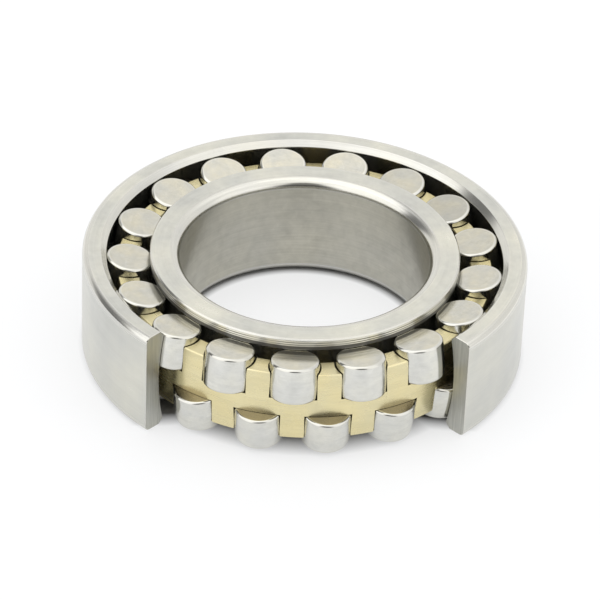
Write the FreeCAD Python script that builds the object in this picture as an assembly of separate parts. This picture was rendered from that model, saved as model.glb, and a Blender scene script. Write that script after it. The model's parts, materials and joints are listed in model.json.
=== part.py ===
import FreeCAD, Part
import math
import os

# Spherical roller bearing, 90 x 160 x 40 mm, shown as a cutaway: a sector of
# the outer ring is removed so that the two rows of barrel rollers, the
# one-piece double-pronged brass cage and the inner ring can be seen.
# The bearing axis is Z.  The origin is the bearing centre, which is also the
# point about which the inner ring, cage and rollers align in the outer ring.

# ---------------------------------------------------------------- dimensions
BORE_D = 90.0            # shaft seat
OUTER_D = 160.0          # housing seat
WIDTH = 40.0             # both rings
H = WIDTH / 2.0

SPHERE_R = 73.5          # outer raceway, one sphere about the origin
OUTER_CORNER_R = 2.2     # housing-seat corners
OUTER_EDGE = 2.0         # chamfer between the raceway and the side faces
CUT_FROM = -132.2        # removed sector of the outer ring, degrees about Z
CUT_TO = -43.0

ROLLERS = 17             # rollers in each row
ROLLER_R = 8.95          # largest radius, at mid length
ROLLER_L = 13.6          # length over the end faces
CROWN_R = 71.6           # profile radius, a little tighter than the raceway
END_ROUND = 0.95        # rounding at the roller ends
TILT = 8.8               # contact angle: roller axes lean in by this much
RACE_GAP = 0.10          # roller to either raceway, radially
ROW_PHASE = -91.8        # azimuth of the first upper roller; lower row is
                         # staggered by half a pitch

BORE_CORNER_R = 3.5      # inner ring, bore corners
RIB_R = 55.7             # inner ring, retaining ribs
RIB_EDGE = 0.5
RIB_GAP = 0.15           # roller end to rib
LAND_R = 56.4            # inner ring, land between the raceways
INNER_PROFILE_R = 73.5   # inner raceway profile radius
RELIEF_R = 0.45          # grinding relief where raceway and rib meet

GUIDE_FIT = 0.05         # guide ring on the land, radial running fit
GUIDE_OR = 59.3          # guide ring, outside radius
GUIDE_GAP = 0.12         # guide ring to the roller ends

CAGE_IR = 59.9           # cage, inside radius
CAGE_OR = 68.5           # cage, outside radius at the web
CAGE_END_OR = 67.7       # cage, outside radius at the prong ends
CAGE_HALF = 13.6         # cage, half width over the prongs
CAGE_EDGE = 0.35         # broken edges of the prongs
POCKET_GAP = 0.12        # roller to pocket wall, radially
POCKET_FLOOR_GAP = 0.14  # roller end to pocket floor
POCKET_FLARE = 0.22      # extra pocket radius at the prong ends

# ------------------------------------------------------------ derived values
PITCH = 360.0 / ROLLERS
a = math.radians(TILT)
ca, sa = math.cos(a), math.sin(a)
RHO = SPHERE_R - RACE_GAP - ROLLER_R          # roller centre from the origin
RC, ZC = RHO * ca, RHO * sa                   # roller centre, upper row
V = FreeCAD.Vector


def rz(r, z):
    """Point in the half plane that is turned about Z."""
    return V(r, 0, z)


def arc(p, q, s):
    return Part.Arc(p, q, s).toShape()


def line(p, q):
    return Part.LineSegment(p, q).toShape()


def face_of(edges):
    return Part.Face(Part.Wire(Part.__sortEdges__(edges)))


def turned(edges, angle=360.0):
    return face_of(edges).revolve(V(0, 0, 0), V(0, 0, 1), angle)


def corner(cr, cz, rad, t0, t1):
    """Arc of radius rad about (cr, cz) from angle t0 to t1 in degrees."""
    def at(t):
        t = math.radians(t)
        return rz(cr + rad * math.cos(t), cz + rad * math.sin(t))
    return arc(at(t0), at((t0 + t1) / 2.0), at(t1)), at(t0), at(t1)


# ---------------------------------------------------------------- outer ring
def outer_ring():
    ro = OUTER_D / 2.0
    c = OUTER_CORNER_R
    ze = H - OUTER_EDGE
    re = math.sqrt(SPHERE_R ** 2 - ze ** 2)      # raceway ends here
    rf = re + OUTER_EDGE                          # chamfer meets the face here
    up, u0, u1 = corner(ro - c, H - c, c, 0.0, 90.0)
    dn, d0, d1 = corner(ro - c, -H + c, c, -90.0, 0.0)
    edges = [
        line(d1, u0), up,
        line(u1, rz(rf, H)), line(rz(rf, H), rz(re, ze)),
        arc(rz(re, ze), rz(SPHERE_R, 0), rz(re, -ze)),
        line(rz(re, -ze), rz(rf, -H)), line(rz(rf, -H), d0), dn,
    ]
    ring = turned(edges, 360.0 - (CUT_TO - CUT_FROM))
    ring.rotate(V(0, 0, 0), V(0, 0, 1), CUT_TO)
    return ring


# ---------------------------------------------------------------- inner ring
def inner_half_profile():
    """Upper outside profile, from the land to the rib's wall, as points.
    The raceway is an arc whose centre lies on the contact line."""
    rcon = RHO - ROLLER_R - RACE_GAP              # contact point from origin
    ccr, ccz = (rcon + INNER_PROFILE_R) * ca, (rcon + INNER_PROFILE_R) * sa

    def on_race(s):
        """Point on the raceway profile at s along the roller axis."""
        d = rcon + INNER_PROFILE_R - math.sqrt(INNER_PROFILE_R ** 2 - s ** 2)
        return rz(d * ca - s * sa, d * sa + s * ca)

    s_out = ROLLER_L / 2.0 + RIB_GAP
    # where the raceway climbs to the land near the middle of the ring
    lo, hi = -12.0, 0.0
    for _ in range(80):
        m = (lo + hi) / 2.0
        if on_race(m).x > LAND_R:
            lo = m
        else:
            hi = m
    s_in = (lo + hi) / 2.0
    return on_race, s_in, s_out


def inner_ring():
    rb = BORE_D / 2.0
    c = BORE_CORNER_R
    on_race, s_in, s_out = inner_half_profile()
    p_in, p_mid, p_out = on_race(s_in), on_race((s_in + s_out) / 2.0), on_race(s_out)
    # rib wall, square to the roller axis, from the raceway up to the rib
    t = (RIB_R - p_out.x) / ca
    rib_foot = rz(RIB_R, p_out.z + t * sa)

    def mirror(p):
        return rz(p.x, -p.z)

    top = rz(RIB_R - RIB_EDGE, H)
    rib = rz(RIB_R, H - RIB_EDGE)
    up, u0, u1 = corner(rb + c, H - c, c, 90.0, 180.0)
    dn, d0, d1 = corner(rb + c, -H + c, c, 180.0, 270.0)
    edges = [
        line(u1, d0), dn, line(d1, mirror(top)), line(mirror(top), mirror(rib)),
        line(mirror(rib), mirror(rib_foot)), line(mirror(rib_foot), mirror(p_out)),
        arc(mirror(p_out), mirror(p_mid), mirror(p_in)),
        line(mirror(p_in), p_in),
        arc(p_in, p_mid, p_out), line(p_out, rib_foot),
        line(rib_foot, rib), line(rib, top), line(top, u0), up,
    ]
    ring = turned(edges)
    # grinding relief turned into the corner of each raceway
    for sgn in (1, -1):
        ctr = V(p_out.x + 0.05, 0, sgn * (p_out.z - 0.05))
        circ = Part.Circle(ctr, V(0, 1, 0), RELIEF_R).toShape()
        tor = Part.Face(Part.Wire([circ])).revolve(V(0, 0, 0), V(0, 0, 1), 360)
        ring = ring.cut(tor)
    return ring


# ---------------------------------------------------------------- guide ring
def roller_end_z(r):
    """Height of the upper roller's inner end plane at radius r."""
    r_end = RC + (ROLLER_L / 2.0) * sa
    z_end = ZC - (ROLLER_L / 2.0) * ca
    return z_end + (r - r_end) * sa / ca


def guide_ring():
    r0 = LAND_R + GUIDE_FIT
    z0 = roller_end_z(r0) - GUIDE_GAP / ca
    z1 = roller_end_z(GUIDE_OR) - GUIDE_GAP / ca
    e = 0.3
    k = (z1 - z0) / (GUIDE_OR - r0)
    pts = [rz(r0, z0 - e), rz(r0 + e, z0 + k * e), rz(GUIDE_OR - e, z1 - k * e),
           rz(GUIDE_OR, z1 - e), rz(GUIDE_OR, -z1 + e),
           rz(GUIDE_OR - e, -z1 + k * e), rz(r0 + e, -z0 - k * e), rz(r0, -z0 + e)]
    edges = [line(pts[i], pts[(i + 1) % len(pts)]) for i in range(len(pts))]
    return turned(edges)


# -------------------------------------------------------------------- roller
def roller_local():
    """Barrel roller about the local Z axis, centred on the local origin."""
    h = ROLLER_L / 2.0
    drop = CROWN_R - math.sqrt(CROWN_R ** 2 - (h - END_ROUND) ** 2)
    rb = ROLLER_R - drop                          # barrel radius at the rounding
    e = END_ROUND
    k = e * (1.0 - math.sqrt(0.5))
    up = arc(rz(rb, h - e), rz(rb - k, h - k), rz(rb - e, h))
    dn = arc(rz(rb - e, -h), rz(rb - k, -h + k), rz(rb, -h + e))
    edges = [
        line(rz(0, -h), rz(rb - e, -h)), dn,
        arc(rz(rb, -h + e), rz(ROLLER_R, 0), rz(rb, h - e)),
        up, line(rz(rb - e, h), rz(0, h)), line(rz(0, h), rz(0, -h)),
    ]
    return turned(edges)


def place(shape, row, index):
    """Put a local upper-row body at its station; row is +1 upper, -1 lower."""
    s = shape.copy()
    if row > 0:
        tilt = FreeCAD.Rotation(V(0, 1, 0), -TILT)
        base = V(RC, 0, ZC)
        az = ROW_PHASE + index * PITCH
    else:
        # local +Z still points away from the middle plane
        tilt = FreeCAD.Rotation(V(0, 1, 0), 180.0 + TILT)
        base = V(RC, 0, -ZC)
        az = ROW_PHASE + (index + 0.5) * PITCH
    turn = FreeCAD.Rotation(V(0, 0, 1), az)
    s.Placement = FreeCAD.Placement(turn.multVec(base), turn.multiply(tilt))
    return s


# ---------------------------------------------------------------------- cage
def pocket_local():
    """Pocket cutter about the local Z axis of an upper roller: a flat floor,
    a close cylinder round the barrel and a flare at the open end."""
    z0 = -ROLLER_L / 2.0 - POCKET_FLOOR_GAP
    r = ROLLER_R + POCKET_GAP
    z1 = 0.8
    z2 = 12.0
    # the flare reaches its full size level with the prong ends
    z_end = (CAGE_HALF - ZC) / ca
    r2 = r + POCKET_FLARE * (z2 - z1) / (z_end - z1)
    edges = [line(rz(0, z0), rz(r, z0)), line(rz(r, z0), rz(r, z1)),
             line(rz(r, z1), rz(r2, z2)), line(rz(r2, z2), rz(0, z2)),
             line(rz(0, z2), rz(0, z0))]
    return turned(edges)


def cage():
    e = CAGE_EDGE
    web = roller_end_z(CAGE_OR)                   # straight outside over the web
    pts = [rz(CAGE_IR, -CAGE_HALF + e), rz(CAGE_IR + e, -CAGE_HALF),
           rz(CAGE_END_OR - e, -CAGE_HALF), rz(CAGE_END_OR, -CAGE_HALF + e),
           rz(CAGE_OR, -web), rz(CAGE_OR, web),
           rz(CAGE_END_OR, CAGE_HALF - e), rz(CAGE_END_OR - e, CAGE_HALF),
           rz(CAGE_IR + e, CAGE_HALF), rz(CAGE_IR, CAGE_HALF - e)]
    edges = [line(pts[i], pts[(i + 1) % len(pts)]) for i in range(len(pts))]
    body = turned(edges)
    # start the ring's seam between two pockets
    body.rotate(V(0, 0, 0), V(0, 0, 1), ROW_PHASE + PITCH / 4.0)
    cutter = pocket_local()
    stations = [(row, i) for i in range(ROLLERS) for row in (1, -1)]
    body = body.cut([place(cutter, row, i) for row, i in stations])
    if body.ShapeType != "Solid" and len(body.Solids) == 1:
        body = body.Solids[0]
    # every pocket must be open at its roller's centre
    for row, i in stations:
        middle = place(roller_local(), row, i).Placement.Base
        assert not body.isInside(middle, 1e-6, True), (row, i)
    return body


# ---------------------------------------------------------------------- main
os.makedirs("parts", exist_ok=True)


def save(name, shape):
    if shape.ShapeType != "Solid" and len(shape.Solids) == 1:
        shape = shape.Solids[0]
    if shape.Volume < 0:
        shape.reverse()
    print(name, "valid", shape.isValid(), "solids", len(shape.Solids),
          "volume_mm3", round(shape.Volume, 1))
    shape.exportStep("parts/" + name + ".step")


save("outer_ring", outer_ring())
save("inner_ring", inner_ring())
save("guide_ring", guide_ring())
save("cage", cage())
barrel = roller_local()
for i in range(ROLLERS):
    save("roller_upper_%02d" % (i + 1), place(barrel, 1, i))
    save("roller_lower_%02d" % (i + 1), place(barrel, -1, i))
print("roller centre r %.4f z %.4f, contact radii %.4f %.4f" % (
    RC, ZC, (RHO - ROLLER_R - RACE_GAP) * ca, SPHERE_R * ca))
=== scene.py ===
import json
import math

import bpy
import numpy as np
from mathutils import Matrix, Quaternion, Vector


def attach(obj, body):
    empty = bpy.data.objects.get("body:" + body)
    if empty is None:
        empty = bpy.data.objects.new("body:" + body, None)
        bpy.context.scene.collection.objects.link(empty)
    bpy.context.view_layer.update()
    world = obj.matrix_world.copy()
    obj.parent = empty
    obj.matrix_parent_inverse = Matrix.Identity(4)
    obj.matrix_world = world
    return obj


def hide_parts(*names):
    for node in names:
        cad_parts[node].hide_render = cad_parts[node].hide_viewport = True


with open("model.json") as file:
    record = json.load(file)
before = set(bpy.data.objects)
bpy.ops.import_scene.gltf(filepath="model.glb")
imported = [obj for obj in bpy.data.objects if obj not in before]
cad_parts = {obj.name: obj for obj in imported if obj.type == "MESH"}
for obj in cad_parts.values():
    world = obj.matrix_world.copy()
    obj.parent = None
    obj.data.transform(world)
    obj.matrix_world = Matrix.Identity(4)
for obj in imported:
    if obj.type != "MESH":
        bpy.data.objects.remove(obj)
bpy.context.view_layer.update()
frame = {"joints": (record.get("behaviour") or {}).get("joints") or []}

# ------------------------------------------------------------------ sizes, mm
MM = 0.001
H = 20.0
SPHERE_R, OUTER_R, OUTER_CORNER, OUTER_EDGE = 73.5, 80.0, 2.2, 2.0
CUT_FROM, CUT_TO = -132.2, -43.0
N = 17
PITCH = 360.0 / N
ROW_PHASE = -91.8
ROLLER_R, ROLLER_L, CROWN_R, END_ROUND = 8.95, 13.6, 71.6, 0.95
TILT = math.radians(8.8)
RACE_GAP = 0.10
CA, SA = math.cos(TILT), math.sin(TILT)
RHO = SPHERE_R - RACE_GAP - ROLLER_R
RC, ZC = RHO * CA, RHO * SA
BORE_R, BORE_CORNER, RIB_R, RIB_EDGE, RIB_GAP = 45.0, 3.5, 55.7, 0.5, 0.15
LAND_R, INNER_PROFILE_R = 56.4, 73.5
GUIDE_FIT, GUIDE_OR, GUIDE_GAP = 0.05, 59.3, 0.12
CAGE_IR, CAGE_OR, CAGE_END_OR, CAGE_HALF, CAGE_EDGE = 59.9, 68.5, 67.7, 13.6, 0.35
POCKET_GAP, POCKET_FLOOR_GAP, POCKET_FLARE = 0.12, 0.14, 0.22


# ------------------------------------------------------------------- profiles
class Profile:
    """A turned profile in (r, z), in mm, kept as segments that each carry the
    surface normal at both ends, so that rounded corners shade exactly."""

    def __init__(self):
        self.seg = []          # (p0, p1, n0, n1, tag)

    @staticmethod
    def _n(p, q):
        d = np.array(q, float) - np.array(p, float)
        d /= max(np.hypot(*d), 1e-12)
        return np.array([d[1], -d[0]])

    def path(self, pts, tags=None, arcs=4, closed=False):
        """Polyline of (r, z, fillet).  The solid lies to the left of the path,
        so the normal points to its right."""
        P = [np.array(p[:2], float) for p in pts]
        F = [p[2] if len(p) > 2 else 0.0 for p in pts]
        n = len(P)
        ends = []
        for i in range(n):
            if (not closed and i in (0, n - 1)) or F[i] <= 0:
                ends.append((P[i], P[i], None))
                continue
            a, b, c = P[i - 1], P[i], P[(i + 1) % n]
            u = (a - b) / np.hypot(*(a - b))
            v = (c - b) / np.hypot(*(c - b))
            ang = math.acos(max(-1, min(1, float(u @ v))))
            t = F[i] / math.tan(ang / 2)
            lim = 0.49 * min(np.hypot(*(a - b)), np.hypot(*(c - b)))
            rad = F[i]
            if t > lim:
                rad *= lim / t
                t = lim
            m = (u + v) / np.hypot(*(u + v))
            cen = b + m * rad / math.sin(ang / 2)
            ends.append((b + u * t, b + v * t, (cen, rad)))
        last = n if closed else n - 1
        for i in range(n):
            e = ends[i]
            if e[2] is not None:
                cen, rad = e[2]
                a0 = math.atan2(*(e[0] - cen)[::-1])
                a1 = math.atan2(*(e[1] - cen)[::-1])
                while a1 - a0 > math.pi:
                    a1 -= 2 * math.pi
                while a1 - a0 < -math.pi:
                    a1 += 2 * math.pi
                k = max(3, int(arcs * abs(a1 - a0) / (math.pi / 4)))
                nin = self._n(P[i - 1], P[i])
                sgn = 1.0 if nin @ (e[0] - cen) > 0 else -1.0
                for j in range(k):
                    t0 = a0 + (a1 - a0) * j / k
                    t1 = a0 + (a1 - a0) * (j + 1) / k
                    d0 = np.array([math.cos(t0), math.sin(t0)])
                    d1 = np.array([math.cos(t1), math.sin(t1)])
                    self.seg.append((cen + d0 * rad, cen + d1 * rad,
                                     d0 * sgn, d1 * sgn, "edge"))
            if i < last:
                p, q = e[1], ends[(i + 1) % n][0]
                nn = self._n(p, q)
                tag = tags[i] if tags else "face"
                self.seg.append((p, q, nn, nn, tag))
        return self

    def arc(self, cen, rad, t0, t1, k, tag, inside):
        """Arc about cen from t0 to t1 degrees.  inside=True when the surface
        faces the centre."""
        cen = np.array(cen, float)
        s = -1.0 if inside else 1.0
        for j in range(k):
            a = math.radians(t0 + (t1 - t0) * j / k)
            b = math.radians(t0 + (t1 - t0) * (j + 1) / k)
            da = np.array([math.cos(a), math.sin(a)])
            db = np.array([math.cos(b), math.sin(b)])
            self.seg.append((cen + da * rad, cen + db * rad, da * s, db * s, tag))
        return self


def lathe(name, prof, mats, columns, start=0.0, span=360.0, cap=None, cap_edge=0.15,
          place=None, seed=0.0):
    """Turn a profile about Z.  mats maps a segment's tag to a material index.
    A span under 360 degrees is closed with two flat caps whose rims are
    lightly broken."""
    full = span >= 359.999
    cols = columns if full else columns + 1
    phi = np.radians(start + span * np.arange(cols) / columns)
    verts, norms, faces, midx, lnorm = [], [], [], [], []
    seg = prof.seg

    def ring_point(p, f):
        return (p[0] * math.cos(f) * MM, p[0] * math.sin(f) * MM, p[1] * MM)

    # one vertex column per distinct profile point
    pts = []
    index = []
    for p0, p1, n0, n1, tag in seg:
        if pts and np.hypot(*(pts[-1] - p0)) < 1e-7:
            a = len(pts) - 1
        else:
            pts.append(p0)
            a = len(pts) - 1
        if len(index) and np.hypot(*(pts[0] - p1)) < 1e-7:
            b = 0
        else:
            pts.append(p1)
            b = len(pts) - 1
        index.append((a, b))
    M = len(pts)
    angles = list(phi)
    if not full:
        d = cap_edge / 70.0
        angles[0] += d
        angles[-1] -= d
    axis_pt = {}
    vid = {}
    for j, f in enumerate(angles):
        for i, p in enumerate(pts):
            if p[0] < 1e-6:
                if i not in axis_pt:
                    axis_pt[i] = len(verts)
                    verts.append((0.0, 0.0, p[1] * MM))
                vid[(i, j)] = axis_pt[i]
            else:
                vid[(i, j)] = len(verts)
                verts.append(ring_point(p, f))

    def nrm(n, f):
        return (n[0] * math.cos(f), n[0] * math.sin(f), n[1])

    pairs = [(j, (j + 1) % cols) for j in range(cols if full else cols - 1)]
    for (a, b), (p0, p1, n0, n1, tag) in zip(index, seg):
        for j, k in pairs:
            va, vb, vc, vd = vid[(a, j)], vid[(a, k)], vid[(b, k)], vid[(b, j)]
            na, nb = nrm(n0, angles[j]), nrm(n0, angles[k])
            nc, nd = nrm(n1, angles[k]), nrm(n1, angles[j])
            quad = [(va, na), (vb, nb), (vc, nc), (vd, nd)]
            if va == vb:
                quad = [(va, na), (vc, nc), (vd, nd)]
            elif vc == vd:
                quad = [(va, na), (vb, nb), (vc, nc)]
            faces.append([q[0] for q in quad])
            lnorm.extend(q[1] for q in quad)
            midx.append(mats[tag])
    if not full:
        # outline in profile order with normals, for the broken rim and the cap
        outline = []
        for (a, b), (p0, p1, n0, n1, tag) in zip(index, seg):
            outline.append((a, p0, n0, n1, tag))
        L = len(outline)
        for side in (0, 1):
            j = 0 if side == 0 else cols - 1
            f = math.radians(start if side == 0 else start + span)
            fn = np.array([math.sin(f), -math.cos(f), 0.0]) * (1 if side == 0 else -1)
            inset = []
            for i in range(L):
                prev = outline[i - 1][3]
                cur = outline[i][2]
                m = prev + cur
                m = m / max(np.hypot(*m), 1e-9)
                p = outline[i][1] - m * cap_edge
                inset.append(len(verts))
                verts.append(ring_point(p, f))
            for i in range(L):
                a, p0, n0, n1, tag = outline[i]
                b = outline[(i + 1) % L][0]
                va, vb = vid[(a, j)], vid[(b, j)]
                ia, ib = inset[i], inset[(i + 1) % L]
                na = np.array(nrm(n0, f))
                nb = np.array(nrm(n1, f))
                ma = (na + fn) / np.linalg.norm(na + fn)
                mb = (nb + fn) / np.linalg.norm(nb + fn)
                quad = [(va, ma), (vb, mb), (ib, mb), (ia, ma)]
                if side == 1:
                    quad = quad[::-1]
                faces.append([q[0] for q in quad])
                lnorm.extend(tuple(q[1]) for q in quad)
                midx.append(mats["edge"])
            poly = inset if side == 1 else inset[::-1]
            faces.append(list(poly))
            lnorm.extend([tuple(fn)] * len(poly))
            midx.append(mats[cap])
    own = np.array(verts, float)
    if place is not None:
        turn, shift = place
        verts = (own @ turn.T + shift).tolist()
        lnorm = (np.array(lnorm, float) @ turn.T).tolist()
    me = bpy.data.meshes.new(name)
    me.from_pydata(verts, [], faces)
    me.polygons.foreach_set("material_index", midx)
    me.polygons.foreach_set("use_smooth", [True] * len(faces))
    me.update()
    # keep the winding in step with the stated normals
    flip = []
    li = 0
    for p in me.polygons:
        n = np.mean([lnorm[li + t] for t in range(len(p.vertices))], axis=0)
        li += len(p.vertices)
        flip.append(float(np.dot(n, p.normal)) < 0)
    if any(flip):
        faces2, ln2, li = [], [], 0
        for fc, fl in zip(faces, flip):
            ns = lnorm[li:li + len(fc)]
            li += len(fc)
            if fl:
                fc, ns = fc[::-1], ns[::-1]
            faces2.append(fc)
            ln2.extend(ns)
        faces, lnorm = faces2, ln2
        bpy.data.meshes.remove(me)
        me = bpy.data.meshes.new(name)
        me.from_pydata(verts, [], faces)
        me.polygons.foreach_set("material_index", midx)
        me.polygons.foreach_set("use_smooth", [True] * len(faces))
        me.update()
    me.normals_split_custom_set([tuple(v) for v in lnorm])
    if place is not None:
        # the piece's own coordinates, for the turning lines of its finish
        at = me.attributes.new("own", "FLOAT_VECTOR", "POINT")
        at.data.foreach_set("vector", own.ravel())
        sd = me.attributes.new("seed", "FLOAT", "POINT")
        sd.data.foreach_set("value", [seed] * len(own))
    return me


def add(name, me, mats, body, node, matrix=None):
    for m in mats:
        me.materials.append(m)
    o = bpy.data.objects.new(name, me)
    bpy.context.scene.collection.objects.link(o)
    if matrix is not None:
        o.matrix_world = matrix
    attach(o, body)
    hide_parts(node)
    return o


# ------------------------------------------------------------------ materials
class Nodes:
    """Small helper for writing node trees."""

    def __init__(self, name, own=False):
        self.mat = bpy.data.materials.new(name)
        self.mat.use_nodes = True
        self.t = self.mat.node_tree
        self.t.nodes.clear()
        self.out = self.t.nodes.new("ShaderNodeOutputMaterial")
        self.bsdf = self.t.nodes.new("ShaderNodeBsdfPrincipled")
        self.t.links.new(self.bsdf.outputs[0], self.out.inputs[0])
        self.seed = None
        if own:
            a = self.t.nodes.new("ShaderNodeAttribute")
            a.attribute_name = "own"
            self.co = a.outputs["Vector"]
            b = self.t.nodes.new("ShaderNodeAttribute")
            b.attribute_name = "seed"
            self.seed = b.outputs["Fac"]
        else:
            self.co = self.t.nodes.new("ShaderNodeTexCoord").outputs["Object"]

    def new(self, kind, **k):
        n = self.t.nodes.new(kind)
        for a, b in k.items():
            setattr(n, a, b)
        return n

    def link(self, a, b):
        self.t.links.new(a, b)

    def math(self, op, a, b=None, c=None, clamp=False):
        n = self.new("ShaderNodeMath", operation=op, use_clamp=clamp)
        for i, v in enumerate((a, b, c)):
            if v is None:
                continue
            if isinstance(v, (int, float)):
                n.inputs[i].default_value = v
            else:
                self.link(v, n.inputs[i])
        return n.outputs[0]

    def split(self, v):
        n = self.new("ShaderNodeSeparateXYZ")
        self.link(v, n.inputs[0])
        return n.outputs[0], n.outputs[1], n.outputs[2]

    def join(self, x, y, z):
        n = self.new("ShaderNodeCombineXYZ")
        for i, v in enumerate((x, y, z)):
            if isinstance(v, (int, float)):
                n.inputs[i].default_value = v
            else:
                self.link(v, n.inputs[i])
        return n.outputs[0]

    def noise(self, vec, w=None, scale=1.0, detail=2.0, rough=0.5, lac=2.0, dist=0.0):
        n = self.new("ShaderNodeTexNoise", noise_dimensions="4D" if w is not None else "3D")
        self.link(vec, n.inputs["Vector"])
        if w is not None:
            if isinstance(w, (int, float)):
                n.inputs["W"].default_value = w
            else:
                self.link(w, n.inputs["W"])
        n.inputs["Scale"].default_value = scale
        n.inputs["Detail"].default_value = detail
        n.inputs["Roughness"].default_value = rough
        n.inputs["Lacunarity"].default_value = lac
        n.inputs["Distortion"].default_value = dist
        return n.outputs["Fac"] if "Fac" in n.outputs else n.outputs[0]

    def remap(self, v, a, b, c, d, clamp=True):
        n = self.new("ShaderNodeMapRange", clamp=clamp)
        self.link(v, n.inputs[0])
        for i, x in enumerate((a, b, c, d)):
            n.inputs[i + 1].default_value = x
        return n.outputs[0]

    def ramp(self, v, stops):
        n = self.new("ShaderNodeValToRGB")
        self.link(v, n.inputs[0])
        e = n.color_ramp.elements
        while len(e) < len(stops):
            e.new(0.5)
        for el, (p, col) in zip(e, stops):
            el.position = p
            el.color = (*col, 1.0) if len(col) == 3 else col
        return n.outputs[0]

    def mix(self, f, a, b, blend="MIX"):
        n = self.new("ShaderNodeMix", data_type="RGBA", blend_type=blend)
        for s, v in ((n.inputs[0], f), (n.inputs[6], a), (n.inputs[7], b)):
            if isinstance(v, (int, float)):
                s.default_value = v
            elif isinstance(v, tuple):
                s.default_value = (*v, 1.0)
            else:
                self.link(v, s)
        return n.outputs[2]

    def bump(self, h, strength, dist, after=None):
        n = self.new("ShaderNodeBump")
        n.inputs["Strength"].default_value = strength
        n.inputs["Distance"].default_value = dist
        self.link(h, n.inputs["Height"])
        if after is not None:
            self.link(after, n.inputs["Normal"])
        return n.outputs[0]

    def turned(self, co=None):
        """(r, z, cos, sin) of the object's own axis."""
        x, y, z = self.split(co or self.co)
        r = self.math("SQRT", self.math("ADD", self.math("MULTIPLY", x, x),
                                        self.math("MULTIPLY", y, y)))
        rs = self.math("MAXIMUM", r, 1e-5)
        return r, z, self.math("DIVIDE", x, rs), self.math("DIVIDE", y, rs)


def lines_of(m, freq, around, grain):
    """Fine and broad machining lines.  'turned' lines run round the axis and
    change along r and z; 'up' lines run along the axis."""
    if grain == "up":
        x, y, z = m.split(m.co)
        out = []
        for f, along, det in ((freq, 0.03, 3.0), (freq * 0.36, 0.010, 2.0)):
            vec = m.join(m.math("MULTIPLY", x, f), m.math("MULTIPLY", y, f),
                         m.math("MULTIPLY", z, f * along))
            out.append(m.noise(vec, None, 1.0, det, 0.6))
        return out
    r, z, c, s = m.turned()
    out = []
    for f, a, det in ((freq, around, 3.0), (freq * 0.17, around * 1.8, 2.0)):
        vec = m.join(m.math("MULTIPLY", r, f), m.math("MULTIPLY", c, a),
                     m.math("MULTIPLY", s, a))
        w = m.math("MULTIPLY", z, f)
        if m.seed is not None:
            w = m.math("ADD", w, m.math("MULTIPLY", m.seed, 31.0))
        out.append(m.noise(vec, w, 1.0, det, 0.6))
    return out


def polish_and_glint_mask(m, polish_and_glint, spots):
    """How polished the finish is, 0 to 1, near the edges listed as (coordinate, place in mm, width in mm); the
    same mask paints the colour lighter there, a painted highlight."""
    r, z, c, s = m.turned()
    az = m.math("ABSOLUTE", z)
    total = None
    for which, at, width in polish_and_glint:
        v = r if which == "r" else az
        d = m.math("ABSOLUTE", m.math("SUBTRACT", v, at * MM))
        d = m.math("ADD", d, m.math("MULTIPLY", m.math("SUBTRACT", spots, 0.5), width * MM * 1.6))
        k = m.remap(d, 0.0, width * MM, 1.0, 0.0)
        total = k if total is None else m.math("MAXIMUM", total, k)
    return total


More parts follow.
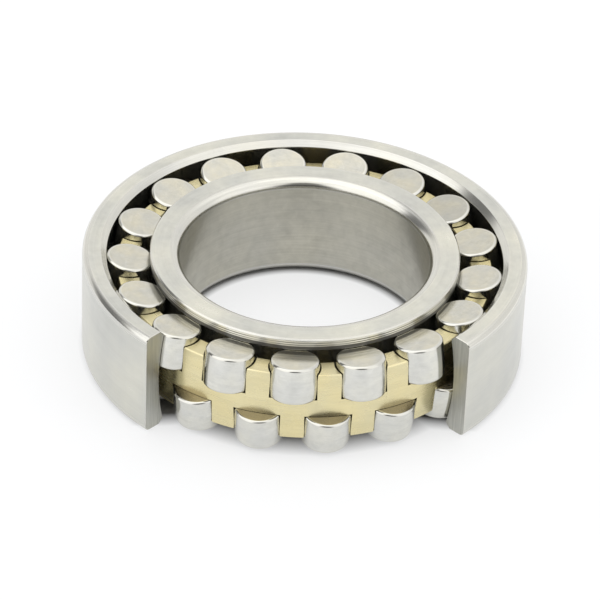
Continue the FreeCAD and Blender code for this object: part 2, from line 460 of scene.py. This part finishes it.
def metal(name, colour, rough, fine=0.5, broad=0.4, cloud=0.35, spot=0.2, spread=0.10,
          freq=2600.0, around=1.5, grain="turned", bump=0.3, gloss=0.12, own=False,
          warm=(1.0, 0.985, 0.93), polish_and_glint=(), scratch=0.0, cloud_size=38.0, aniso=0.0,
          spot_bump=0.12, ridges=None, fade=None):
    """Machined metal: fine lines, broader tool marks, a soft mottle of handling marks and uneven gloss, with
    smoother edges painted lighter, a painted highlight."""
    m = Nodes(name, own)
    f, b = lines_of(m, freq, around, grain)
    co = m.co
    if m.seed is not None:
        x, y, z = m.split(m.co)
        sh = m.math("MULTIPLY", m.seed, 0.37)
        co = m.join(m.math("ADD", x, sh), m.math("ADD", y, sh), z)
    spots = m.noise(co, None, 300.0, 4.0, 0.62, dist=0.3)
    clouds = m.noise(co, None, cloud_size, 3.0, 0.52)

    def off(v, k):
        return m.math("MULTIPLY", m.math("SUBTRACT", v, 0.5), 2.0 * k)

    tone = m.math("ADD", m.math("ADD", off(f, fine), off(b, broad)),
                  m.math("ADD", off(spots, spot), off(clouds, cloud)))
    if scratch:
        # a few long thin marks lying at random angles
        tot = None
        for k, (ax, ay) in enumerate(((1.0, 0.25), (0.35, 1.0), (-0.8, 0.7))):
            x, y, z = m.split(co)
            u = m.math("ADD", m.math("MULTIPLY", x, ax), m.math("MULTIPLY", y, ay))
            v = m.math("ADD", m.math("MULTIPLY", x, -ay), m.math("MULTIPLY", y, ax))
            vec = m.join(m.math("MULTIPLY", u, 1500.0), m.math("MULTIPLY", v, 70.0),
                         m.math("MULTIPLY", z, 400.0))
            n = m.noise(vec, 7.3 * k, 1.0, 1.0, 0.4)
            t = m.remap(n, 0.66, 0.74, 0.0, scratch)
            tot = t if tot is None else m.math("MAXIMUM", tot, t)
        tone = m.math("ADD", tone, tot)
    tint = m.mix(m.remap(clouds, 0.35, 0.68, 0.0, 0.8), colour,
                 tuple(a * b2 for a, b2 in zip(colour, warm)))
    h = f
    if ridges:
        # a shallow thread of turning marks below the edge, then a band below it painted much darker, painted
        # shade in the gap above the roller ends; pitch and reach in mm
        pitch, reach, depth, recess_shade = ridges
        az = m.math("ABSOLUTE", m.turned()[1])
        wave = m.math("SINE", m.math("MULTIPLY", az, 2.0 * math.pi / (pitch * MM)))
        near = m.remap(az, (H - reach) * MM, (H - reach + 0.3) * MM, 0.0, 1.0)
        # the thread is deeper in some places than in others
        x, y, z = m.split(m.co)
        uneven = m.noise(m.join(x, y, 0.0), None, 55.0, 2.0, 0.5)
        wave = m.math("MULTIPLY", wave, m.math("MULTIPLY", near, m.remap(uneven, 0.40, 0.60, 0.25, 1.0)))
        # painted shade: the rib below the turning marks is made far darker
        tone = m.math("SUBTRACT", tone, m.math("MULTIPLY", m.math("SUBTRACT", 1.0, near), recess_shade))
        tone = m.math("ADD", tone, m.math("MULTIPLY", wave, depth))
        h = m.math("ADD", f, m.math("MULTIPLY", wave, 0.5 * depth))
    amount = m.math("MAXIMUM", m.math("MULTIPLY_ADD", tone, spread, 1.0), 0.25)
    rg = m.math("MULTIPLY_ADD", tone, -gloss, rough)
    if fade:
        # the finish changes over from the neighbouring surface's: from, to in mm,
        # then how dark and how much rougher it starts
        z0, z1, dark, extra = fade
        t = m.remap(m.math("ABSOLUTE", m.turned()[1]), z0 * MM, z1 * MM, 1.0, 0.0)
        amount = m.math("MULTIPLY", amount, m.math("MULTIPLY_ADD", t, dark - 1.0, 1.0))
        rg = m.math("MULTIPLY_ADD", t, extra, rg)
    if polish_and_glint:
        k = polish_and_glint_mask(m, polish_and_glint, spots)
        # painted highlight: the colour is made lighter along the edges; the finish is also made smoother there
        amount = m.math("ADD", amount, m.math("MULTIPLY", k, 0.14))
        rg = m.math("SUBTRACT", rg, m.math("MULTIPLY", k, rough * 0.45))
    sc = m.new("ShaderNodeVectorMath", operation="SCALE")
    m.link(tint, sc.inputs[0])
    m.link(amount, sc.inputs["Scale"])
    m.link(sc.outputs[0], m.bsdf.inputs["Base Color"])
    m.link(m.remap(rg, 0.05, 0.9, 0.05, 0.9), m.bsdf.inputs["Roughness"])
    m.bsdf.inputs["Metallic"].default_value = 1.0
    n1 = m.bump(h, bump, 0.00002)
    n2 = m.bump(spots, spot_bump, 0.00003, n1)
    m.link(n2, m.bsdf.inputs["Normal"])
    if aniso:
        # grinding lines run round the axis, so gloss spreads across them
        m.bsdf.inputs["Anisotropic"].default_value = aniso
        m.bsdf.inputs["Anisotropic Rotation"].default_value = 0.25
        tan = m.new("ShaderNodeTangent", direction_type="RADIAL", axis="Z")
        m.link(tan.outputs[0], m.bsdf.inputs["Tangent"])
    return m.mat


M_FACE = metal("ring_side_face", (0.642, 0.642, 0.599), 0.33, fine=0.18, broad=0.22, cloud=0.8,
               spot=0.30, spread=0.42, freq=2000.0, polish_and_glint=(("r", 77.8, 0.35), ("r", 73.3, 0.3), ("r", 55.2, 0.3)),
               cloud_size=42.0, gloss=0.16, warm=(1.0, 0.975, 0.90))
M_OD = metal("ring_outside", (0.618, 0.619, 0.582), 0.30, fine=0.18, broad=0.18, cloud=0.55,
             spot=0.10, spread=0.30, polish_and_glint=(("z", 17.8, 0.4),), cloud_size=45.0, aniso=0.5, gloss=0.08,
             spot_bump=0.015, bump=0.08, freq=1300.0)
M_EDGE = metal("ring_edge", (0.64, 0.636, 0.602), 0.16, fine=0.6, broad=0.6, spread=0.20,
               freq=3200.0, bump=0.55, gloss=0.12)
M_RACE = metal("raceway", (0.70, 0.695, 0.66), 0.24, fine=0.5, broad=0.3, spread=0.12,
               bump=0.12, gloss=0.06)
M_CUT = metal("cut_face", (0.452, 0.454, 0.424), 0.42, grain="up", fine=1.1, broad=0.45,
              cloud=0.4, spread=0.25, freq=2300.0, bump=0.7, gloss=0.20, cloud_size=70.0)
M_BORE = metal("bore", (0.482, 0.472, 0.420), 0.34, fine=0.7, broad=0.12, cloud=0.4,
               spot=0.7, spread=0.20, freq=2900.0, gloss=0.12, aniso=0.85)
M_CORNER = metal("bore_corner", (0.645, 0.640, 0.606), 0.17, fine=0.7, broad=0.7,
                 fade=(16.5, 18.3, 0.76, 0.14),
                 spread=0.17, freq=4200.0, bump=0.5, gloss=0.10)
# the rib below its turning marks is painted dark, painted shade in the gap above the roller ends
M_RIB = metal("rib_outside", (0.66, 0.654, 0.618), 0.42, fine=0.5, broad=0.2, cloud=0.1,
              spread=0.30, freq=3600.0, around=0.4, bump=0.3, gloss=0.04, aniso=0.6,
              spot=0.05, spot_bump=0.03, ridges=(0.90, 2.9, 2.6, 3.0))
# the relief groove is given a darker base colour, painted shade in the notch
M_RELIEF_SHADE = metal("relief", (0.40, 0.39, 0.36), 0.45, spread=0.2)
M_GUIDE = metal("guide_ring", (0.50, 0.49, 0.46), 0.32, spread=0.2)
M_END = metal("roller_end", (0.612, 0.602, 0.545), 0.17, fine=0.12, broad=0.12, cloud=0.6,
              spot=0.4, spread=0.30, freq=1800.0, bump=0.06, gloss=0.08, own=True,
              scratch=0.12, cloud_size=120.0, polish_and_glint=(("r", 7.7, 0.25),), warm=(1.0, 0.955, 0.84))
# painted shade and painted brass reflection: the inner roller ends get a darker, browner base than the outer
# ends
M_END_IN_SHADE = metal("roller_inner_end", (0.322, 0.297, 0.252), 0.26, fine=0.3, broad=0.3, cloud=0.6,
                 spot=0.3, spread=0.22, freq=1800.0, bump=0.10, gloss=0.10, own=True,
                 scratch=0.15, cloud_size=110.0, polish_and_glint=(("r", 7.7, 0.25),))
M_BARREL = metal("roller_barrel", (0.665, 0.665, 0.633), 0.20, fine=0.4, broad=0.5, cloud=0.6,
                 spot=0.25, spread=0.19, freq=3200.0, bump=0.2, gloss=0.09, own=True,
                 scratch=0.15, cloud_size=100.0, aniso=0.4, spot_bump=0.06)
M_ROUND = metal("roller_edge", (0.64, 0.635, 0.598), 0.07, fine=0.4, broad=0.3, spread=0.12,
                bump=0.06, gloss=0.02, own=True, spot_bump=0.03)
BRASS = (0.735, 0.668, 0.424)
M_BRASS = metal("brass_turned", BRASS, 0.27, fine=0.3, broad=0.6, cloud=0.55, spot=0.08,
                spread=0.18, freq=1900.0, around=2.5, bump=0.2, gloss=0.13,
                warm=(0.98, 0.94, 0.82), cloud_size=70.0, spot_bump=0.05)
M_BRASS_IN = metal("brass_pocket", (0.68, 0.595, 0.345), 0.24, fine=0.4, broad=0.4, cloud=0.4,
                   spot=0.06, spread=0.16, freq=2100.0, around=3.0, bump=0.2, gloss=0.08,
                   warm=(0.97, 0.92, 0.78), spot_bump=0.04)
# the bevelled cage edges get a lighter, glossier brass: the lighter colour is a painted highlight
M_BRASS_EDGE_GLINT = metal("brass_edge_glint", (0.83, 0.775, 0.54), 0.16, fine=0.3, broad=0.4, cloud=0.4,
                     spot=0.06, spread=0.14, freq=3000.0, around=3.0, bump=0.15, gloss=0.05,
                     warm=(0.98, 0.93, 0.80), spot_bump=0.04)


# ----------------------------------------------------------------- outer ring
def outer_profile():
    ze = H - OUTER_EDGE
    re = math.sqrt(SPHERE_R ** 2 - ze ** 2)
    rf = re + OUTER_EDGE
    th = math.degrees(math.asin(ze / SPHERE_R))
    p = Profile()
    # outside, up; top face, inward; raceway, down; bottom face, outward
    p.path([(OUTER_R, -H + OUTER_CORNER), (OUTER_R, H - OUTER_CORNER)], ["od"])
    p.arc((OUTER_R - OUTER_CORNER, H - OUTER_CORNER), OUTER_CORNER, 0, 90, 12, "edge", False)
    q = Profile().path([(OUTER_R - OUTER_CORNER, H), (rf, H, 0.45), (re, ze, 0.35),
                        (re + 0.35 * (H - ze) / 2 * 0 + 0.45, ze - 1.9)], ["side", "edge", "race"], 6)
    # the last straight piece only gave the fillet a direction: follow the sphere
    segs = q.seg[:-1]
    p.seg += segs
    end = segs[-1][1]
    t0 = math.degrees(math.asin(end[1] / SPHERE_R))
    start = np.array([math.cos(math.radians(t0)), math.sin(math.radians(t0))]) * SPHERE_R
    p.seg[-1] = (p.seg[-1][0], start, p.seg[-1][2], -start / SPHERE_R, "edge")
    p.arc((0, 0), SPHERE_R, t0, -t0, 56, "race", True)
    mir = []
    for a, b, na, nb, tag in segs[::-1]:
        f = np.array([1, -1])
        mir.append((b * f, a * f, nb * f, na * f, tag))
    mir[0] = (p.seg[-1][1], mir[0][1], p.seg[-1][3], mir[0][3], "edge")
    p.seg += mir
    p.arc((OUTER_R - OUTER_CORNER, -H + OUTER_CORNER), OUTER_CORNER, -90, 0, 12, "edge", False)
    return p


OUTER_MATS = [M_OD, M_FACE, M_EDGE, M_RACE, M_CUT]
span = 360.0 - (CUT_TO - CUT_FROM)
me = lathe("outer_ring_mesh", outer_profile(),
           {"od": 0, "side": 1, "edge": 2, "race": 3, "cut": 4}, 360,
           CUT_TO, span, cap="cut", cap_edge=0.18)
add("outer_ring_steel", me, OUTER_MATS, "outer_ring", "outer_ring")


# ----------------------------------------------------------------- inner ring
def inner_profile():
    rcon = RHO - ROLLER_R - RACE_GAP

    def on_race(s):
        d = rcon + INNER_PROFILE_R - math.sqrt(INNER_PROFILE_R ** 2 - s * s)
        return np.array([d * CA - s * SA, d * SA + s * CA])

    s_out = ROLLER_L / 2 + RIB_GAP
    lo, hi = -12.0, 0.0
    for _ in range(80):
        m = (lo + hi) / 2
        if on_race(m)[0] > LAND_R:
            lo = m
        else:
            hi = m
    s_in = (lo + hi) / 2
    p_in, p_out = on_race(s_in), on_race(s_out)
    foot = np.array([RIB_R, p_out[1] + (RIB_R - p_out[0]) / CA * SA])
    pc, zc = (rcon + INNER_PROFILE_R) * CA, (rcon + INNER_PROFILE_R) * SA
    cen = np.array([pc, zc])

    def race_arc(s0, s1, k, flip):
        out = []
        f = np.array([1.0, -1.0]) if flip else np.array([1.0, 1.0])
        for j in range(k):
            a, b = on_race(s0 + (s1 - s0) * j / k), on_race(s0 + (s1 - s0) * (j + 1) / k)
            na, nb = (cen - a) / np.hypot(*(cen - a)), (cen - b) / np.hypot(*(cen - b))
            out.append((a * f, b * f, na * f, nb * f, "race"))
        return out

    # relief groove: a small round notch in the corner between raceway and rib
    rel = 0.45
    ctr = np.array([p_out[0] + 0.05, p_out[1] - 0.05])
    s_rel = s_out - 0.52
    a_rel = on_race(s_rel)
    b_rel = p_out + np.array([CA, SA]) * 0.45
    g0 = math.atan2(*(a_rel - ctr)[::-1])
    g1 = math.atan2(*(b_rel - ctr)[::-1])
    while g1 > g0:
        g1 -= 2 * math.pi
    if g0 - g1 < math.pi * 0.9:
        pass
    p = Profile()

    def groove(flip):
        f = np.array([1.0, -1.0]) if flip else np.array([1.0, 1.0])
        # sweep the far side, into the metal: through straight down (-r)
        k = 8
        a0, a1 = g0, g1
        mid = (a0 + a1) / 2
        if math.cos(mid) > 0:
            a1 = g1 + 2 * math.pi
        out = []
        r0, r1 = np.hypot(*(a_rel - ctr)), np.hypot(*(b_rel - ctr))
        pr = None
        for j in range(k + 1):
            t = j / k
            a = a0 + (a1 - a0) * t
            rr = r0 + (r1 - r0) * t
            q = ctr + np.array([math.cos(a), math.sin(a)]) * rr
            n = -np.array([math.cos(a), math.sin(a)])
            if pr is not None:
                out.append((pr[0] * f, q * f, pr[1] * f, n * f, "dark"))
            pr = (q, n)
        return out

    up = []
    up += race_arc(s_in, s_rel, 30, False)
    up += groove(False)
    rest = Profile().path([tuple(b_rel), (foot[0], foot[1], 0.25), (RIB_R, H - RIB_EDGE, 0.2),
                           (RIB_R - RIB_EDGE, H, 0.2), (BORE_R + BORE_CORNER, H)],
                          ["ribwall", "rib", "edge", "side"], 6).seg
    up += rest
    f = np.array([1.0, -1.0])
    dn = [(b * f, a * f, nb * f, na * f, tag) for a, b, na, nb, tag in up[::-1]]
    p.seg += dn
    p.seg.append((p_in * f, p_in, np.array([1.0, 0.0]), np.array([1.0, 0.0]), "land"))
    p.seg += up
    c = BORE_CORNER
    p.arc((BORE_R + c, H - c), c, 90, 180, 18, "corner", False)
    p.path([(BORE_R, H - c), (BORE_R, -H + c)], ["bore"])
    p.arc((BORE_R + c, -H + c), c, 180, 270, 18, "corner", False)
    return p


INNER_MATS = [M_BORE, M_FACE, M_EDGE, M_RACE, M_CORNER, M_RIB, M_RELIEF_SHADE]
me = lathe("inner_ring_mesh", inner_profile(),
           {"bore": 0, "side": 1, "edge": 2, "race": 3, "land": 3, "corner": 4,
            "rib": 5, "ribwall": 5, "dark": 6}, 300)
add("inner_ring_steel", me, INNER_MATS, "inner_ring", "inner_ring")


# ----------------------------------------------------------------- guide ring
def roller_end_z(r):
    r_end = RC + (ROLLER_L / 2) * SA
    z_end = ZC - (ROLLER_L / 2) * CA
    return z_end + (r - r_end) * SA / CA


def guide_profile():
    r0 = LAND_R + GUIDE_FIT
    z0 = roller_end_z(r0) - GUIDE_GAP / CA
    z1 = roller_end_z(GUIDE_OR) - GUIDE_GAP / CA
    return Profile().path([(GUIDE_OR, -z1, 0.3), (GUIDE_OR, z1, 0.3), (r0, z0, 0.3),
                           (r0, -z0, 0.3)], ["face"] * 4, 4, closed=True)


me = lathe("guide_ring_mesh", guide_profile(), {"face": 0, "edge": 0}, 240)
add("guide_ring_steel", me, [M_GUIDE], "guide_ring", "guide_ring")


# -------------------------------------------------------------------- rollers
def roller_profile():
    h = ROLLER_L / 2
    drop = CROWN_R - math.sqrt(CROWN_R ** 2 - (h - END_ROUND) ** 2)
    rb = ROLLER_R - drop
    e = END_ROUND
    p = Profile()
    t = math.degrees(math.asin((h - e) / CROWN_R))
    p.path([(0.0, -h), (rb - e, -h)], ["low_end"])
    p.arc((rb - e, -h + e), e, -90, 0, 9, "edge", False)
    p.arc((ROLLER_R - CROWN_R, 0), CROWN_R, -t, t, 24, "barrel", False)
    p.arc((rb - e, h - e), e, 0, 90, 9, "edge", False)
    p.path([(rb - e, h), (0.0, h)], ["end"])
    return p


spins = {j["child"]: j for j in frame["joints"]}
prof = roller_profile()
for row in ("upper", "lower"):
    for i in range(1, N + 1):
        node = "roller_%s_%02d" % (row, i)
        j = spins[node]
        axis = Vector(j["axis"]).normalized()
        pos = Vector(j["pos_m"])
        radial = Vector((pos.x, pos.y, 0)).normalized()
        # local X stays in the plane of the bearing axis
        xa = (radial - axis * radial.dot(axis)).normalized()
        ya = axis.cross(xa)
        rot = Matrix((xa, ya, axis)).transposed()
        spin = 37.0 * i + (13.0 if row == "lower" else 0.0)
        turn = rot @ Matrix.Rotation(math.radians(spin), 3, "Z")
        # the inner ends take the darker material, painted shade and reflection
        inner, outer = (3, 0) if row == "upper" else (0, 3)
        me = lathe(node + "_mesh", prof, {"low_end": inner, "end": outer, "edge": 1, "barrel": 2}, 96,
                   place=(np.array(turn), np.array(pos)), seed=(spin * 0.173) % 1.0)
        add(node + "_steel", me, [M_END, M_ROUND, M_BARREL, M_END_IN_SHADE], node, node)


# ----------------------------------------------------------------------- cage
def plain(name, prof, columns, matrix=None):
    me = lathe(name, prof, {"face": 0, "edge": 0}, columns)
    o = bpy.data.objects.new(name, me)
    bpy.context.scene.collection.objects.link(o)
    if matrix is not None:
        o.matrix_world = matrix
    return o


def cage_blank():
    e = CAGE_EDGE
    web = roller_end_z(CAGE_OR)
    pts = [(CAGE_IR, CAGE_HALF - e), (CAGE_IR, -CAGE_HALF + e), (CAGE_IR + e, -CAGE_HALF),
           (CAGE_END_OR - e, -CAGE_HALF), (CAGE_END_OR, -CAGE_HALF + e),
           (CAGE_OR, -web), (CAGE_OR, web),
           (CAGE_END_OR, CAGE_HALF - e), (CAGE_END_OR - e, CAGE_HALF),
           (CAGE_IR + e, CAGE_HALF)]
    return Profile().path(pts, ["face"] * len(pts), closed=True)


def pocket_profile():
    z0 = -ROLLER_L / 2 - POCKET_FLOOR_GAP
    r = ROLLER_R + POCKET_GAP
    z1, z2 = 0.8, 12.0
    z_end = (CAGE_HALF - ZC) / CA
    r2 = r + POCKET_FLARE * (z2 - z1) / (z_end - z1)
    return Profile().path([(0.0, z0), (r, z0), (r, z1), (r2, z2), (0.0, z2)],
                          ["face"] * 4)


def build_cage():
    body = plain("cage_blank", cage_blank(), 17 * 24)
    cut = pocket_profile()
    meshes = []
    me = lathe("pocket", cut, {"face": 0, "edge": 0}, 96)
    co = np.zeros(len(me.vertices) * 3)
    me.vertices.foreach_get("co", co)
    co = co.reshape(-1, 3)
    polys = [list(p.vertices) for p in me.polygons]
    V, F = [], []
    for row in (1, -1):
        for i in range(N):
            az = math.radians(ROW_PHASE + (i if row > 0 else i + 0.5) * PITCH)
            axis = Vector((-SA * math.cos(az), -SA * math.sin(az), row * CA))
            rad = Vector((math.cos(az), math.sin(az), 0))
            xa = (rad - axis * rad.dot(axis)).normalized()
            ya = axis.cross(xa)
            R = np.array(Matrix((xa, ya, axis)).transposed())
            T = np.array([RC * math.cos(az), RC * math.sin(az), row * ZC]) * MM
            base = len(V)
            V.extend((co @ R.T + T).tolist())
            F.extend([[v + base for v in f] for f in polys])
    tool_me = bpy.data.meshes.new("pockets")
    tool_me.from_pydata(V, [], F)
    tool_me.update()
    tool = bpy.data.objects.new("pockets", tool_me)
    bpy.context.scene.collection.objects.link(tool)
    # pockets take the second material
    body.data.materials.clear()
    body.data.materials.append(M_BRASS)
    body.data.materials.append(M_BRASS_IN)
    tool_me.materials.append(M_BRASS)
    tool_me.materials.append(M_BRASS_IN)
    tool_me.polygons.foreach_set("material_index", [1] * len(F))
    mod = body.modifiers.new("pockets", "BOOLEAN")
    mod.operation = "DIFFERENCE"
    mod.solver = "EXACT"
    mod.object = tool
    mod.use_self = False
    dg = bpy.context.evaluated_depsgraph_get()
    out = bpy.data.meshes.new_from_object(body.evaluated_get(dg))
    out.name = "cage_mesh"
    bpy.data.objects.remove(body)
    bpy.data.objects.remove(tool)
    return out


me = build_cage()
me.attributes.remove(me.attributes["custom_normal"]) if "custom_normal" in me.attributes else None
o = bpy.data.objects.new("cage_tmp", me)
bpy.context.scene.collection.objects.link(o)
w = o.modifiers.new("weld", "WELD")
w.merge_threshold = 2e-6
b = o.modifiers.new("bevel", "BEVEL")
b.width = 0.00018
b.segments = 2
b.limit_method = "ANGLE"
b.angle_limit = math.radians(35)
b.harden_normals = False
b.use_clamp_overlap = True
# the bevel faces take the lighter brass, a painted highlight along the cage edges
b.material = 2
me.materials.append(M_BRASS_EDGE_GLINT)
dg = bpy.context.evaluated_depsgraph_get()
cage_me = bpy.data.meshes.new_from_object(o.evaluated_get(dg))
bpy.data.objects.remove(o)
cage_me.name = "cage_brass_mesh"
cage_me.polygons.foreach_set("use_smooth", [True] * len(cage_me.polygons))
cage_me.update()
o = bpy.data.objects.new("cage_brass", cage_me)
bpy.context.scene.collection.objects.link(o)
wn = o.modifiers.new("wn", "WEIGHTED_NORMAL")
wn.mode = "FACE_AREA_WITH_ANGLE"
wn.weight = 100
wn.keep_sharp = False
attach(o, "cage")
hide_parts("cage")


# ---------------------------------------------------------------------- stage
floor_z = -0.020
fm = Nodes("pale_floor")
fr, fz, fc, fs = fm.turned()
cl = fm.noise(fm.co, None, 9.0, 3.0, 0.5)
# painted shade: the floor's colour is a little darker close to the bearing
far = fm.remap(fr, 0.14, 0.40, 0.0, 1.0)
tone = fm.mix(far, (0.325, 0.327, 0.330), (0.350, 0.350, 0.350))
fm.link(fm.mix(fm.remap(cl, 0.3, 0.7, 0.0, 0.05), tone, (0.30, 0.30, 0.31)),
        fm.bsdf.inputs["Base Color"])
fm.bsdf.inputs["Roughness"].default_value = 0.6
fm.bsdf.inputs["Specular IOR Level"].default_value = 0.15
# the pale floor glows, painted light that thins the shadows on it; the glow is left out where the bearing covers
# it, a painted shadow, and the cut in the outer ring uncovers a little more of it
mid = math.radians(0.5 * (CUT_FROM + CUT_TO))
facing = fm.math("ADD", fm.math("MULTIPLY", fc, math.cos(mid)), fm.math("MULTIPLY", fs, math.sin(mid)))
open_side = fm.remap(facing, 0.66, 0.76, 0.0, 1.0)
reach = fm.math("MULTIPLY_ADD", open_side, 0.012, fr)
# painted shadow: no glow on the floor under the bearing
painted_shadow = fm.math("MULTIPLY", fm.remap(fr, 0.0428, 0.0460, 0.0, 1.0), fm.remap(reach, 0.070, 0.0815, 1.0, 0.0))
lit = fm.math("SUBTRACT", 1.0, painted_shadow)
fm.bsdf.inputs["Emission Color"].default_value = (0.985, 0.99, 1.0, 1.0)
# painted light: the glow is weaker close to the bearing and stronger far out
fm.link(fm.math("MULTIPLY", lit, fm.remap(fr, 0.14, 0.40, 0.63, 0.76)),
        fm.bsdf.inputs["Emission Strength"])
me = bpy.data.meshes.new("floor")
S = 6.0
me.from_pydata([(-S, -S, 0), (S, -S, 0), (S, S, 0), (-S, S, 0)], [], [(0, 1, 2, 3)])
me.materials.append(fm.mat)
floor = bpy.data.objects.new("floor", me)
floor.location = (0, 0, floor_z)
bpy.context.scene.collection.objects.link(floor)

# ----------------------------------------------------------------- light, air
world = bpy.data.worlds.new("studio")
bpy.context.scene.world = world
world.use_nodes = True
wt = world.node_tree
wt.nodes.clear()
wo = wt.nodes.new("ShaderNodeOutputWorld")
bg = wt.nodes.new("ShaderNodeBackground")
wt.links.new(bg.outputs[0], wo.inputs[0])
tc = wt.nodes.new("ShaderNodeTexCoord")
sep = wt.nodes.new("ShaderNodeSeparateXYZ")
wt.links.new(tc.outputs["Generated"], sep.inputs[0])


def direction(az, el):
    a, e = math.radians(az), math.radians(el)
    return (math.cos(a) * math.cos(e), math.sin(a) * math.cos(e), math.sin(e))


def w_range(v, a, b, c, d, smooth=True):
    n = wt.nodes.new("ShaderNodeMapRange")
    n.interpolation_type = "SMOOTHSTEP" if smooth else "LINEAR"
    wt.links.new(v, n.inputs[0])
    for i, x in enumerate((a, b, c, d)):
        n.inputs[i + 1].default_value = x
    return n.outputs[0]


def w_lobe(level, az, el, inner, outer, value):
    """Blend the light level towards value inside a round patch of the tent."""
    d = wt.nodes.new("ShaderNodeVectorMath")
    d.operation = "DOT_PRODUCT"
    wt.links.new(tc.outputs["Generated"], d.inputs[0])
    d.inputs[1].default_value = direction(az, el)
    t = w_range(d.outputs["Value"], math.cos(math.radians(outer)),
                math.cos(math.radians(inner)), 0.0, 1.0)
    n = wt.nodes.new("ShaderNodeMix")
    n.data_type = "FLOAT"
    wt.links.new(t, n.inputs[0])
    wt.links.new(level, n.inputs[2])
    n.inputs[3].default_value = value
    return n.outputs[0]


level = w_range(sep.outputs[2], 0.62, 0.84, 1.03, 1.34)          # walls, then the overhead panel
level = w_lobe(level, 208, 28, 28, 44, 1.52)                      # soft box, front left
level = w_lobe(level, 331, 28, 16, 34, 1.34)                      # soft box, front right
for az, el, size, value in ((169, 2, 18, 0.22), (165, 15, 18, 0.22), (156, 27, 17, 0.23),
                            (143, 37, 16, 0.25), (127, 44, 14, 0.40), (110, 46, 11, 0.55)):
    level = w_lobe(level, az, el, size * 0.3, size, value)        # seam between the panels
level = w_lobe(level, 273, 8, 18, 31, 0.11)                      # open front of the tent
level = w_lobe(level, 273, 36, 8, 16, 0.28)
wt.links.new(level, bg.inputs[1])
bg.inputs[0].default_value = (1.0, 0.995, 0.985, 1.0)


def area(name, loc, look, size, power, size_y=None, colour=(1, 1, 1)):
    l = bpy.data.lights.new(name, "AREA")
    l.energy = power
    l.size = size
    if size_y:
        l.shape = "RECTANGLE"
        l.size_y = size_y
    l.color = colour
    o = bpy.data.objects.new(name, l)
    o.location = loc
    d = Vector(look) - Vector(loc)
    o.rotation_euler = d.to_track_quat("-Z", "Y").to_euler()
    bpy.context.scene.collection.objects.link(o)
    return o


area("key_top", (-0.25, 0.15, 0.95), (0, 0, 0), 0.9, 0.8)

# --------------------------------------------------------------------- camera
cam = bpy.data.cameras.new("camera")
cam.sensor_width = 36.0
cam.lens = 234.0
cam.clip_end = 20.0
co = bpy.data.objects.new("camera", cam)
bpy.context.scene.collection.objects.link(co)
el, roll = math.radians(34.96997654), math.radians(2.38841687)
fwd = Vector((0, math.cos(el), -math.sin(el)))
right = Vector((1, 0, 0))
up = Vector((0, math.sin(el), math.cos(el)))
r2 = right * math.cos(roll) + up * math.sin(roll)
u2 = up * math.cos(roll) - right * math.sin(roll)
rot = Matrix((r2, u2, -fwd)).transposed()
co.matrix_world = Matrix.Translation(Vector((-1.158, -1157.502, 807.612)) * MM) @ rot.to_4x4()
bpy.context.scene.camera = co
bpy.context.scene.view_settings.view_transform = "Standard"
bpy.context.scene.view_settings.look = "None"
